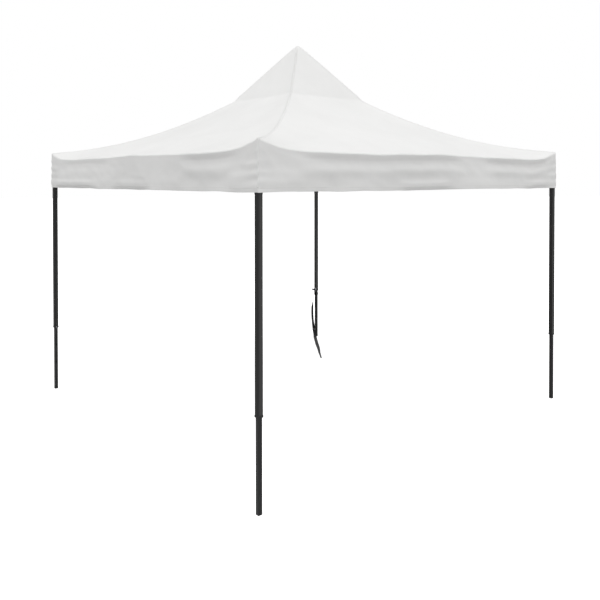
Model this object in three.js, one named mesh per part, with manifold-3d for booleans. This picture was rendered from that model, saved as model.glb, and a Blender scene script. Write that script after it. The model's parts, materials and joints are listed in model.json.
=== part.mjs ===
// Pop up canopy, 3 m by 3 m: four telescopic legs, a scissor frame that folds as one,
// a sprung peak pole and a fitted fabric roof with its valance.
// Millimetres, +Z up, origin on the ground under the peak.

import * as THREE from 'three';
import { mergeVertices } from 'three/addons/utils/BufferGeometryUtils.js';
import Module from 'manifold-3d';

const wasm = await Module();
wasm.setup();

// ---- driving dimensions ----
const LEG_LINE = 1470; // from the centre to a leg's centre line, along X and along Y
const FABRIC_EDGE = 1492; // from the centre to the valance's outer face
const UPPER_PIVOTS = 1930; // height of the upper row of pivots
const TRUSS_RISE = 175; // from the lower row of pivots to the upper row, canopy open
const PIVOT_OFFSET = 50; // from a leg, a middle connector or a hub to the pivots on it
const CLEARANCE = 0.3;

const OUTER_TUBE = { side: 32, wall: 1, bottom: 522, top: 1958 };
const INNER_TUBE = { side: 25, wall: 1, top: 1300, plug: 30, holeSpacing: 150, holes: 4 };

const BAR = { depth: 22, thickness: 12, wall: 0.9, overrun: 14 };
const BAR_PLANE = 10; // from the lugs' middle plane to a bar's middle plane
const PIN = { radius: 3, headRadius: 6, headLength: 2.5 };
const RIVET_RADIUS = 3;
const HOLE_CLEARANCE = 0.35;
const ROUND_SIDES = 8;

const LUG = { thickness: 7, height: 30 };
const HUB_RADIUS = 24;
const CONNECTOR_SIDE = 34;
const SLIDER = { outer: 40, down: 12, up: 34 };
const COLLAR = { outer: 35, height: 13 };
const STRAP_RING = { width: 22, height: 25, thickness: 3.5, border: 4 };

const SLEEVE = { radius: 12, bore: 9.2, top: 620 }; // top is above the lower hub's pivots
const ROD = { radius: 8.5, overlap: 420 };
const KNOB = { radius: 21, height: 26, top: 2880 };

const BUTTON = { radius: 5, proud: 3, depth: 6.5, height: 528.5 };
const LOCK = { radius: 5, stem: 6, grip: 9, gripLength: 4, height: 22 };

// The roof's height falls from the peak as a straight cone and then as a shallow curve.
const PEAK = { height: 2905, slope: 1.24, rounding: 8 };
const CONE_EDGE = 370; // where the peak's stiff patch ends
const CORNER_HEIGHT = 2010;
const ROOF_RISE = { linear: 0.07, square: 2.8e-4 };
const DROOP = { depth: 92, reach: 100, recovery: 35, width: 350 };
const FABRIC_THICKNESS = 1.2;
const HEM_HEIGHT = 1720;
const SEAM_DROP = 1.8; // from the roof's underside to the valance's upper edge

const STRAP_RADIUS = 4;

// ---- dimensions worked out from those above ----
const LOWER_PIVOTS = UPPER_PIVOTS - TRUSS_RISE;
const BAR_SPAN = LEG_LINE - 2 * PIVOT_OFFSET;
const BAR_LENGTH = Math.hypot(BAR_SPAN, TRUSS_RISE);
const BAR_ANGLE = Math.atan2(TRUSS_RISE, BAR_SPAN);
const QUARTER = Math.PI / 2;

// ---- finishes ----
const finish = (color, roughness, metalness) => ({ color, roughness, metalness });
const POWDER_COAT = finish(0x1c1c1d, 0.45, 0.6);
const PLASTIC = finish(0x151516, 0.55, 0);
const STEEL = finish(0xb9bbbd, 0.3, 1);
const CLOTH = finish(0xf1f1f0, 0.85, 0);
const WEBBING = finish(0x19191a, 0.9, 0);

// ---- helpers ----

/** A manifold solid from a closed three.js geometry. */
function solid(geometry) {
  const plain = geometry.clone();
  plain.deleteAttribute('normal');
  plain.deleteAttribute('uv');
  const merged = mergeVertices(plain, 1e-4);
  return new wasm.Manifold(new wasm.Mesh({
    numProp: 3,
    vertProperties: new Float32Array(merged.attributes.position.array),
    triVerts: new Uint32Array(merged.index.array),
  }));
}

/** A three.js geometry from a manifold solid. */
function geometryOf(manifold) {
  const mesh = manifold.getMesh();
  const geometry = new THREE.BufferGeometry();
  geometry.setAttribute('position', new THREE.BufferAttribute(mesh.vertProperties, 3));
  geometry.setIndex(new THREE.BufferAttribute(mesh.triVerts, 1));
  geometry.computeVertexNormals();
  return geometry;
}

/** A block between two corners. */
function block(low, high) {
  const size = high.map((value, axis) => value - low[axis]);
  const middle = high.map((value, axis) => (value + low[axis]) / 2);
  return solid(new THREE.BoxGeometry(...size).translate(...middle));
}

/** A round bar along 'x', 'y' or 'z', from one place on that axis to another. */
function round(axis, radius, from, to, at = [0, 0, 0], sides = ROUND_SIDES) {
  const geometry = new THREE.CylinderGeometry(radius, radius, to - from, sides);
  geometry.rotateY(Math.PI / sides);
  if (axis === 'x') geometry.rotateZ(-QUARTER);
  if (axis === 'z') geometry.rotateX(QUARTER);
  const middle = [...at];
  middle['xyz'.indexOf(axis)] += (from + to) / 2;
  return solid(geometry.translate(...middle));
}

const join = (...solids) => solids.reduce((whole, next) => whole.add(next));
const cut = (whole, ...tools) => tools.reduce((rest, tool) => rest.subtract(tool), whole);

/** A turned copy of a solid, about Z, by whole quarter turns. */
const quarterTurned = (manifold, quarters) => manifold.rotate([0, 0, 90 * quarters]);

/** A square tube about the Z axis, open at both ends. */
function squareTube(side, wall, bottom, top) {
  const half = side / 2;
  const inside = half - wall;
  return cut(
    block([-half, -half, bottom], [half, half, top]),
    block([-inside, -inside, bottom - 1], [inside, inside, top + 1]),
  );
}

/** A named mesh with a finish. */
function part(name, geometry, look) {
  const mesh = new THREE.Mesh(geometry, new THREE.MeshStandardMaterial(look));
  mesh.name = name;
  return mesh;
}

// ---- scissor bars ----
// A bar lies along X with its inner pivot at the origin and its thickness along Y.

/** A hollow bar: 'pinned' carries the rivet of its cross, 'holed' takes that rivet. */
function barGeometry(pinned) {
  const { depth, thickness, wall, overrun } = BAR;
  const half = { depth: depth / 2, thickness: thickness / 2 };
  const tube = cut(
    block([-overrun, -half.thickness, -half.depth], [BAR_LENGTH + overrun, half.thickness, half.depth]),
    block(
      [-overrun - 1, -half.thickness + wall, -half.depth + wall],
      [BAR_LENGTH + overrun + 1, half.thickness - wall, half.depth - wall],
    ),
  );
  const hole = (radius, x) => round('y', radius + HOLE_CLEARANCE, -thickness, thickness, [x, 0, 0]);
  const ended = cut(tube, hole(PIN.radius, 0), hole(PIN.radius, BAR_LENGTH));
  const middle = BAR_LENGTH / 2;
  if (!pinned) return geometryOf(cut(ended, hole(RIVET_RADIUS, middle)));
  const farFace = 2 * BAR_PLANE + half.thickness + 1;
  const rivet = round('y', RIVET_RADIUS, -half.thickness, farFace, [middle, 0, 0]);
  const head = round('y', PIN.headRadius, farFace, farFace + PIN.headLength, [middle, 0, 0]);
  return geometryOf(join(ended, rivet, head));
}

const RIVETED_BAR = barGeometry(true);
const HOLED_BAR = barGeometry(false);

/** A bar in a group of its own: tilt is positive where its outer end is the higher one. */
function bar(name, geometry, tilt, inward, height, plane) {
  const mesh = part(name, geometry, POWDER_COAT);
  mesh.rotation.y = -tilt;
  mesh.position.set(inward, plane, height);
  return mesh;
}

// ---- connectors ----

/** A lug along +X from a connector's middle, its pin towards +Y (plane 1) or -Y (plane -1). */
function lug(plane, up = LUG.height / 2, down = LUG.height / 2) {
  const half = LUG.thickness / 2;
  const tongue = block([0, -half, -down], [PIVOT_OFFSET + PIN.headRadius + 2, half, up]);
  const reach = BAR_PLANE + BAR.thickness / 2 + 1;
  const pivot = [PIVOT_OFFSET, 0, 0];
  const pin = round('y', PIN.radius, 0, reach, pivot);
  const head = round('y', PIN.headRadius, reach, reach + PIN.headLength, pivot);
  const pinAndHead = join(pin, head);
  return join(tongue, plane > 0 ? pinAndHead : pinAndHead.mirror([0, 1, 0]));
}

/** A middle connector, its centre at the origin and the canopy's centre towards -X. */
function middleConnector(plane) {
  const half = CONNECTOR_SIDE / 2;
  const lugs = [1, 2, 3].map((quarter) => quarterTurned(lug(plane), quarter));
  return geometryOf(join(
    block([-half, -half, -LUG.height / 2], [half - 4, half, LUG.height / 2]),
    ...lugs,
  ));
}

/** A hub with four lugs, bored for whatever passes through it. */
function hub(plane, boreRadius) {
  const lugs = [0, 1, 2, 3].map((quarter) => quarterTurned(lug(plane), quarter));
  const body = round('z', HUB_RADIUS, -LUG.height / 2, LUG.height / 2, [0, 0, 0], 12);
  return geometryOf(cut(
    join(body, ...lugs),
    round('z', boreRadius, -LUG.height, LUG.height, [0, 0, 0], 12),
  ));
}

// ---- legs ----
// A leg stands at the origin, with its neighbours towards -X and -Y.

/** The outer tube with its top bracket and its end collar. */
function outerLegGeometry(withRing) {
  const { side, wall, bottom, top } = OUTER_TUBE;
  const half = side / 2;
  const tube = squareTube(side, wall, bottom, top);
  const capTop = top + 22;
  const cap = new THREE.CylinderGeometry(half * 0.9, (half + 3) * Math.SQRT2, capTop - top, 4);
  cap.rotateY(Math.PI / 4).rotateX(QUARTER).translate(0, 0, (capTop + top) / 2);
  const bracket = join(
    cut(
      block([-half - 3, -half - 3, UPPER_PIVOTS - 25], [half + 0, half + 0, top]),
      block([-half + wall, -half + wall, 0], [half - wall, half - wall, top - 3]),
    ),
    solid(cap).intersect(block([-half - 3, -half - 3, top - 1], [half, half, capTop])),
    cut(
      join(
        quarterTurned(lug(-1), 2).translate([0, 0, UPPER_PIVOTS]),
        quarterTurned(lug(-1), 3).translate([0, 0, UPPER_PIVOTS]),
      ),
      block([-half + wall, -half + wall, 0], [half, half, top]),
    ),
  );
  const collarHalf = COLLAR.outer / 2;
  const slip = INNER_TUBE.side / 2 + CLEARANCE;
  const collar = cut(
    block([-collarHalf, -collarHalf, bottom], [collarHalf, collarHalf, bottom + COLLAR.height]),
    block([-slip, -slip, bottom - 1], [slip, slip, bottom + COLLAR.height + 1]),
  );
  const buttonHole = round('x', BUTTON.radius + CLEARANCE, -side, 0, [0, 0, BUTTON.height], 12);
  const whole = cut(join(tube, bracket, collar), buttonHole);
  if (!withRing) return geometryOf(whole);
  const ringTop = bottom + 1;
  const { width, height, thickness, border } = STRAP_RING;
  const ring = cut(
    block([-collarHalf - 2, -width / 2, ringTop - height], [-collarHalf - 2 + thickness, width / 2, ringTop]),
    block(
      [-side, border - width / 2, ringTop - height + border],
      [0, width / 2 - border, ringTop - 2 * border],
    ),
  );
  return geometryOf(join(whole, ring));
}

/** The inner tube with its foot plug. */
function innerLegGeometry() {
  const { side, wall, top, plug } = INNER_TUBE;
  const half = side / 2;
  const inset = half - wall / 2;
  const body = join(squareTube(side, wall, 3, top), block([-inset, -inset, 0], [inset, inset, plug]));
  const holes = Array.from({ length: INNER_TUBE.holes }, (_, step) => {
    const height = BUTTON.height - step * INNER_TUBE.holeSpacing;
    return round('x', BUTTON.radius + 1, -side, 0, [0, 0, height]);
  });
  return geometryOf(cut(body, ...holes));
}

/** The sliding collar that carries the lower bars. */
function sliderGeometry() {
  const half = SLIDER.outer / 2;
  const bore = OUTER_TUBE.side / 2 + CLEARANCE;
  const bottom = LOWER_PIVOTS - SLIDER.down;
  const top = LOWER_PIVOTS + SLIDER.up;
  const lugs = join(
    quarterTurned(lug(1, SLIDER.down, SLIDER.down), 2),
    quarterTurned(lug(1, SLIDER.down, SLIDER.down), 3),
  ).translate([0, 0, LOWER_PIVOTS]);
  const lockHole = round('x', LOCK.radius + 0.6, -SLIDER.outer, 0, [0, 0, LOWER_PIVOTS + LOCK.height]);
  return geometryOf(cut(
    join(block([-half, -half, bottom], [half, half, top]), lugs),
    block([-bore, -bore, bottom - 1], [bore, bore, top + 1]),
    lockHole,
  ));
}

/** A push button in the outer tube's lower end, facing -X. */
function buttonGeometry() {
  const face = COLLAR.outer / 2;
  const { radius, proud, depth, height } = BUTTON;
  return geometryOf(round('x', radius, -face - proud, -face - proud + depth, [0, 0, height], 12));
}

/** A pull knob in the slider, facing -X. */
function lockGeometry() {
  const face = SLIDER.outer / 2;
  const height = LOWER_PIVOTS + LOCK.height;
  const tip = -OUTER_TUBE.side / 2 - 2 * CLEARANCE;
  return geometryOf(join(
    round('x', LOCK.radius, -face - LOCK.stem, tip, [0, 0, height]),
    round('x', LOCK.grip, -face - LOCK.stem - LOCK.gripLength, -face - LOCK.stem, [0, 0, height], 12),
  ));
}

// ---- peak pole ----

/** The pole's fixed sleeve, standing in the lower hub. */
function sleeveGeometry() {
  const bottom = LOWER_PIVOTS - LUG.height / 2;
  const top = LOWER_PIVOTS + SLEEVE.top;
  return geometryOf(cut(
    round('z', SLEEVE.radius, bottom, top, [0, 0, 0], 12),
    round('z', SLEEVE.bore, bottom + 20, top + 1, [0, 0, 0], 12),
  ));
}

/** The pole's sprung upper rod. */
function rodGeometry() {
  const bottom = LOWER_PIVOTS + SLEEVE.top - ROD.overlap;
  return geometryOf(round('z', ROD.radius, bottom, KNOB.top - KNOB.height, [0, 0, 0], 12));
}

/** The rounded knob on the rod that lifts the fabric. */
function knobGeometry() {
  const points = [[0, 0], [KNOB.radius - 6, 0], [KNOB.radius, 5], [KNOB.radius, 8]];
  const steps = 4;
  for (let step = 1; step <= steps; step += 1) {
    const angle = (step / steps) * QUARTER;
    points.push([KNOB.radius * Math.cos(angle), 8 + (KNOB.height - 8 - CLEARANCE) * Math.sin(angle)]);
  }
  const profile = points.map(([radius, height]) => new THREE.Vector2(Math.max(radius, 0), height));
  profile[profile.length - 1].x = 0;
  const lathe = new THREE.LatheGeometry(profile, 16);
  lathe.rotateX(QUARTER).translate(0, 0, KNOB.top - KNOB.height + CLEARANCE);
  return geometryOf(solid(lathe));
}

// ---- fabric ----

/** How far the eave sags under the hip line, by the distance along it from the nearest hip. */
function eaveSag(fromHip) {
  const { depth, reach, recovery } = DROOP;
  return depth * (1 - Math.exp(-fromHip / reach)) - (recovery * fromHip) / FABRIC_EDGE;
}

/** The roof's outer height, by the larger and the smaller distance from the centre lines. */
function roofHeight(far, near) {
  if (far < CONE_EDGE) return PEAK.height - PEAK.slope * Math.hypot(far, PEAK.rounding);
  const inside = FABRIC_EDGE - far;
  const hip = CORNER_HEIGHT + ROOF_RISE.linear * inside + ROOF_RISE.square * inside ** 2;
  const edge = Math.max(0, 1 - inside / DROOP.width);
  const blend = edge * edge * (3 - 2 * edge);
  return hip - blend * eaveSag(far - near);
}

const SIDE_STATIONS = [-1, -0.965, -0.9, -0.8, -0.5, 0, 0.5, 0.8, 0.9, 0.965];
const ROOF_RINGS = [30, 150, CONE_EDGE, 470, 620, 820, 1050, 1200, 1300, 1400, 1460, FABRIC_EDGE];

/** The points of a square ring about the centre, counter-clockwise, on the roof's surface. */
function squareRing(far) {
  const points = [];
  for (let quarter = 0; quarter < 4; quarter += 1) {
    const turn = new THREE.Matrix4().makeRotationZ(quarter * QUARTER);
    for (const station of SIDE_STATIONS) {
      const height = roofHeight(far, Math.abs(station) * far);
      points.push(new THREE.Vector3(far, station * far, height).applyMatrix4(turn));
    }
  }
  return points;
}

/** A closed geometry from points and faces given as lists of corners. */
function closedGeometry(points, faces) {
  const geometry = new THREE.BufferGeometry();
  geometry.setAttribute(
    'position',
    new THREE.BufferAttribute(new Float32Array(points.flatMap((point) => point.toArray())), 3),
  );
  const triangles = faces.flatMap((face) => {
    const fan = [];
    for (let corner = 1; corner < face.length - 1; corner += 1) {
      fan.push(face[0], face[corner], face[corner + 1]);
    }
    return fan;
  });
  geometry.setIndex(triangles);
  geometry.computeVertexNormals();
  return geometry;
}

/** The roof: an outer skin, the same skin one thickness lower, and the rim between them. */
function roofGeometry() {
  const ringSize = 4 * SIDE_STATIONS.length;
  const upper = [new THREE.Vector3(0, 0, roofHeight(0, 0)), ...ROOF_RINGS.flatMap(squareRing)];
  const lower = upper.map((point) => point.clone().setZ(point.z - FABRIC_THICKNESS));
  const faces = [];
  const at = (ring, place) => 1 + ring * ringSize + (place % ringSize);
  for (let place = 0; place < ringSize; place += 1) {
    faces.push([0, at(0, place), at(0, place + 1)]);
    for (let ring = 0; ring < ROOF_RINGS.length - 1; ring += 1) {
      faces.push([at(ring, place), at(ring + 1, place), at(ring + 1, place + 1), at(ring, place + 1)]);
    }
  }
  // A lower face starts from the same corner as the upper one, so both are split the same way.
  const below = faces.map(([first, ...others]) =>
    [first, ...others.reverse()].map((corner) => corner + upper.length),
  );
  const last = ROOF_RINGS.length - 1;
  const rim = [];
  for (let place = 0; place < ringSize; place += 1) {
    const [here, next] = [at(last, place), at(last, place + 1)];
    rim.push([here, here + upper.length, next + upper.length, next]);
  }
  return closedGeometry([...upper, ...lower], [...faces, ...below, ...rim]);
}

/** The valance: a hanging band all round, from just under the roof's rim to the hem. */
function valanceGeometry() {
  const rim = squareRing(FABRIC_EDGE);
  const shrink = 1 - FABRIC_THICKNESS / FABRIC_EDGE;
  const inset = (point) => new THREE.Vector3(point.x * shrink, point.y * shrink, point.z);
  const topOf = (point) => point.clone().setZ(point.z - FABRIC_THICKNESS - SEAM_DROP);
  const hemOf = (point) => point.clone().setZ(HEM_HEIGHT);
  const loops = [
    rim.map(topOf),
    rim.map(hemOf),
    rim.map(inset).map(hemOf),
    rim.map(inset).map(topOf),
  ];
  const size = rim.length;
  const faces = [];
  for (let loop = 0; loop < 4; loop += 1) {
    for (let place = 0; place < size; place += 1) {
      const next = (place + 1) % size;
      const [a, b] = [loop * size, ((loop + 1) % 4) * size];
      faces.push([a + place, b + place, b + next, a + next]);
    }
  }
  return closedGeometry(loops.flat(), faces);
}

// ---- tie strap ----
// It hangs from the ring on the back left leg and then lies on the ground.
const STRAP_ROUTE = [
  [-1470, 1443, 514],
  [-1476, 1440, 475],
  [-1487, 1437, 425],
  [-1493, 1434, 365],
  [-1494, 1432, 295],
  [-1492, 1433, 215],
  [-1485, 1437, 140],
  [-1472, 1440, 75],
  [-1452, 1434, 32],
  [-1418, 1408, 10],
  [-1360, 1365, 4.5],
  [-1270, 1298, 4.5],
  [-1170, 1222, 4.5],
  [-1070, 1150, 4.5],
  [-970, 1075, 4.5],
  [-880, 1004, 4.5],
  [-790, 938, 4.5],
  [-700, 872, 4.5],
];

/** The strap as a plain tube along its route. */
function strapGeometry() {
  const curve = new THREE.CatmullRomCurve3(STRAP_ROUTE.map((point) => new THREE.Vector3(...point)));
  const outline = new THREE.Shape(
    Array.from({ length: 8 }, (_, step) => {
      const angle = ((step + 0.5) / 8) * 2 * Math.PI;
      return new THREE.Vector2(STRAP_RADIUS * Math.cos(angle), STRAP_RADIUS * Math.sin(angle));
    }),
  );
  return new THREE.ExtrudeGeometry(outline, { steps: 40, extrudePath: curve });
}

// ---- assembly ----

const canopy = new THREE.Group();
const SIDES = ['right', 'back', 'left', 'front'];
const CORNERS = ['back_right', 'back_left', 'front_left', 'front_right'];
const OUTER_LEG = outerLegGeometry(false);
const RINGED_LEG = outerLegGeometry(true);
const INNER_LEG = innerLegGeometry();
const SLIDER_BODY = sliderGeometry();
const BUTTON_BODY = buttonGeometry();
const LOCK_BODY = lockGeometry();
const UPPER_CONNECTOR = middleConnector(-1);
const LOWER_CONNECTOR = middleConnector(1);

/** One arm's pair of bars, crossing: the arm starts at its group's origin, along +X. */
function crossedBars(fallingName, risingName) {
  const arm = new THREE.Group();
  arm.add(
    bar(risingName, HOLED_BAR, BAR_ANGLE, PIVOT_OFFSET, LOWER_PIVOTS, BAR_PLANE),
    bar(fallingName, RIVETED_BAR, -BAR_ANGLE, PIVOT_OFFSET, UPPER_PIVOTS, -BAR_PLANE),
  );
  return arm;
}

SIDES.forEach((side, index) => {
  const group = new THREE.Group();
  group.rotation.z = index * QUARTER;

  const centreArm = crossedBars(`centre_bar_upper_${side}`, `centre_bar_lower_${side}`);

  const middle = new THREE.Group();
  middle.position.x = LEG_LINE;
  const upper = part(`middle_upper_${side}`, UPPER_CONNECTOR, PLASTIC);
  upper.position.z = UPPER_PIVOTS;
  const lower = part(`middle_lower_${side}`, LOWER_CONNECTOR, PLASTIC);
  lower.position.z = LOWER_PIVOTS;
  const ahead = crossedBars(`side_bar_upper_${side}_ahead`, `side_bar_lower_${side}_ahead`);
  ahead.rotation.z = QUARTER;
  const behind = crossedBars(`side_bar_upper_${side}_behind`, `side_bar_lower_${side}_behind`);
  behind.rotation.z = -QUARTER;
  middle.add(upper, lower, ahead, behind);

  const corner = CORNERS[index];
  const leg = new THREE.Group();
  leg.position.set(LEG_LINE, LEG_LINE, 0);
  const innerLeg = part(`inner_leg_${corner}`, INNER_LEG, POWDER_COAT);
  leg.add(
    part(`outer_leg_${corner}`, corner === 'back_left' ? RINGED_LEG : OUTER_LEG, POWDER_COAT),
    innerLeg,
    part(`slider_${corner}`, SLIDER_BODY, PLASTIC),
    part(`leg_button_${corner}`, BUTTON_BODY, STEEL),
    part(`slider_lock_${corner}`, LOCK_BODY, PLASTIC),
  );
  group.add(centreArm, middle, leg);
  canopy.add(group);
});

const upperHub = part('hub_upper', hub(-1, SLEEVE.radius + 0.6), PLASTIC);
upperHub.position.z = UPPER_PIVOTS;
const lowerHub = part('hub_lower', hub(1, SLEEVE.radius + CLEARANCE), PLASTIC);
lowerHub.position.z = LOWER_PIVOTS;

canopy.add(
  upperHub,
  lowerHub,
  part('centre_pole', sleeveGeometry(), POWDER_COAT),
  part('peak_rod', rodGeometry(), POWDER_COAT),
  part('peak_knob', knobGeometry(), PLASTIC),
  part('canopy_roof', roofGeometry(), CLOTH),
  part('canopy_valance', valanceGeometry(), CLOTH),
  part('tie_strap', strapGeometry(), WEBBING),
);

export default canopy;
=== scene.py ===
"""A 3 m pop up canopy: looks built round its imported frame.

The roof and valance are cloth sheets that gather with the fold, the legs are dressed tube by tube,
and every connector and bar gets eased edges and the finish of its real material.
"""

import json
import logging
import math
from collections.abc import Callable, Sequence
from dataclasses import dataclass, field
from enum import Enum

import bpy
from bpy.types import Material, Node, NodeTree, Object
from mathutils import Matrix, Vector, noise

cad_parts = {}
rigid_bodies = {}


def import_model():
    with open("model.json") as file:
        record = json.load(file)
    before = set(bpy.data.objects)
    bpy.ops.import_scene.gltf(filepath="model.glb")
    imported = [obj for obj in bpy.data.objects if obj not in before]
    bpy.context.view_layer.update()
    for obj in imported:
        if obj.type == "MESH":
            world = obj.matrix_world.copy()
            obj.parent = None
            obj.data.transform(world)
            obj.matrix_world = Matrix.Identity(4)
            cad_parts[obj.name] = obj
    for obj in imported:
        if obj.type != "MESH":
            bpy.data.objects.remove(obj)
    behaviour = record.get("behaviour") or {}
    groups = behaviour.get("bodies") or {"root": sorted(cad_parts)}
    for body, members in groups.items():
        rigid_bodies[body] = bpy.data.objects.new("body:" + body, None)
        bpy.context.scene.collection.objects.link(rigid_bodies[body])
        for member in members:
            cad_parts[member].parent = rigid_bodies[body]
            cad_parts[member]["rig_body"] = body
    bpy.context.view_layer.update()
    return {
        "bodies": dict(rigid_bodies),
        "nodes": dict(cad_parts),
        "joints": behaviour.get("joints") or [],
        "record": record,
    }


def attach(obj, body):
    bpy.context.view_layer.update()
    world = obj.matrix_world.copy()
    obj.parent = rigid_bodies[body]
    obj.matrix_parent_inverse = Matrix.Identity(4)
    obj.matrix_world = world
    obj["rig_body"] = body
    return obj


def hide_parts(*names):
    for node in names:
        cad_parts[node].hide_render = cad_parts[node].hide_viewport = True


LOG = logging.getLogger("canopy")
MM = 0.001
QUARTER = math.pi / 2


class Side(Enum):
    """The four sides, each with its number of quarter turns from the right one."""

    RIGHT = 0
    BACK = 1
    LEFT = 2
    FRONT = 3

    @property
    def label(self) -> str:
        """The side's name in the frame."""
        return self.name.lower()

    @property
    def turn(self) -> Matrix:
        """The rotation from the right side to this one."""
        return Matrix.Rotation(self.value * QUARTER, 4, "Z")


class Corner(Enum):
    """The four corners, each with its number of quarter turns from the back right one."""

    BACK_RIGHT = 0
    BACK_LEFT = 1
    FRONT_LEFT = 2
    FRONT_RIGHT = 3

    @property
    def label(self) -> str:
        """The corner's name in the frame."""
        return self.name.lower()


# ---------------------------------------------------------------- finishes


def linear(code: str) -> tuple[float, float, float, float]:
    """Turns an sRGB hex colour into linear values.

    Args:
        code: Six hex digits, with or without a leading hash.

    Returns:
        Red, green, blue and a full alpha.
    """
    digits = code.lstrip("#")
    values = [int(digits[at : at + 2], 16) / 255 for at in (0, 2, 4)]
    low = [v / 12.92 if v <= 0.04045 else ((v + 0.055) / 1.055) ** 2.4 for v in values]
    return (low[0], low[1], low[2], 1.0)


def add_node(tree: NodeTree, kind: str, settings: dict | None = None, links: dict | None = None) -> Node:
    """Adds one shader node with its settings and its incoming links.

    Args:
        tree: The node tree to add to.
        kind: The node's type name, without the ShaderNode prefix.
        settings: Attribute names, or input socket names or numbers, with their values.
        links: Input socket names or numbers with the output sockets that feed them.

    Returns:
        The new node.
    """
    node = tree.nodes.new(f"ShaderNode{kind}")
    for key, value in (settings or {}).items():
        if isinstance(key, str) and hasattr(node, key):
            setattr(node, key, value)
        else:
            node.inputs[key].default_value = value
    for key, socket in (links or {}).items():
        tree.links.new(socket, node.inputs[key])
    return node


@dataclass(frozen=True)
class Finish:
    """A finish: what its surface is, and how it takes light.

    Attributes:
        name: The material's name, after what it is.
        light: Its main colour.
        dark: The colour of its worn, dusty or shaded patches.
        roughness: The mean roughness.
        roughness_spread: How far the roughness wanders either way.
        metallic: 1 for bare metal, 0 for paint, plastic and cloth.
        ior: The index of refraction.
        grain: The size of the surface's grain in metres.
        grain_height: How high the grain stands in metres.
        patch: The size of the colour patches in metres.
        patch_share: How strongly the patches show.
    """

    name: str
    light: str
    dark: str
    roughness: float
    roughness_spread: float = 0.06
    metallic: float = 0.0
    ior: float = 1.5
    grain: float = 1.5 * MM
    grain_height: float = 0.05 * MM
    patch: float = 0.12
    patch_share: float = 0.5

    def begin(self) -> tuple[Material, NodeTree, Node, Node]:
        """Makes the material with its shader and object coordinates.

        Returns:
            The material, its tree, its Principled shader and its coordinate node.
        """
        material = bpy.data.materials.new(self.name)
        material.use_nodes = True
        tree = material.node_tree
        shader = tree.nodes["Principled BSDF"]
        shader.inputs["Metallic"].default_value = self.metallic
        shader.inputs["IOR"].default_value = self.ior
        place = add_node(tree, "TexCoord")
        return material, tree, shader, place

    def patches(self, tree: NodeTree, shader: Node, place: Node) -> None:
        """Links slow colour and roughness patches to the shader.

        Args:
            tree: The node tree.
            shader: The Principled shader.
            place: The coordinate node.
        """
        cloud = add_node(
            tree,
            "TexNoise",
            {"Scale": 1 / self.patch, "Detail": 5.0, "Roughness": 0.6},
            {"Vector": place.outputs["Object"]},
        )
        ramp = add_node(tree, "ValToRGB", {}, {"Fac": cloud.outputs["Fac"]})
        ramp.color_ramp.elements[0].position = 0.5 - 0.5 * self.patch_share
        ramp.color_ramp.elements[1].position = 0.5 + 0.5 * (1 - self.patch_share)
        ramp.color_ramp.elements[0].color = linear(self.dark)
        ramp.color_ramp.elements[1].color = linear(self.light)
        tree.links.new(ramp.outputs["Color"], shader.inputs["Base Color"])
        shine = add_node(
            tree,
            "MapRange",
            {
                "To Min": self.roughness - self.roughness_spread,
                "To Max": self.roughness + self.roughness_spread,
            },
            {"Value": cloud.outputs["Fac"]},
        )
        tree.links.new(shine.outputs["Result"], shader.inputs["Roughness"])

    def build(self) -> Material:
        """Makes a grained finish: paint, moulded plastic or metal.

        Returns:
            The material.
        """
        material, tree, shader, place = self.begin()
        self.patches(tree, shader, place)
        grain = add_node(
            tree,
            "TexNoise",
            {"Scale": 1 / self.grain, "Detail": 3.0, "Roughness": 0.5},
            {"Vector": place.outputs["Object"]},
        )
        bump = add_node(
            tree,
            "Bump",
            {"Strength": 0.6, "Distance": self.grain_height},
            {"Height": grain.outputs["Fac"]},
        )
        tree.links.new(bump.outputs["Normal"], shader.inputs["Normal"])
        return material


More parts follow.
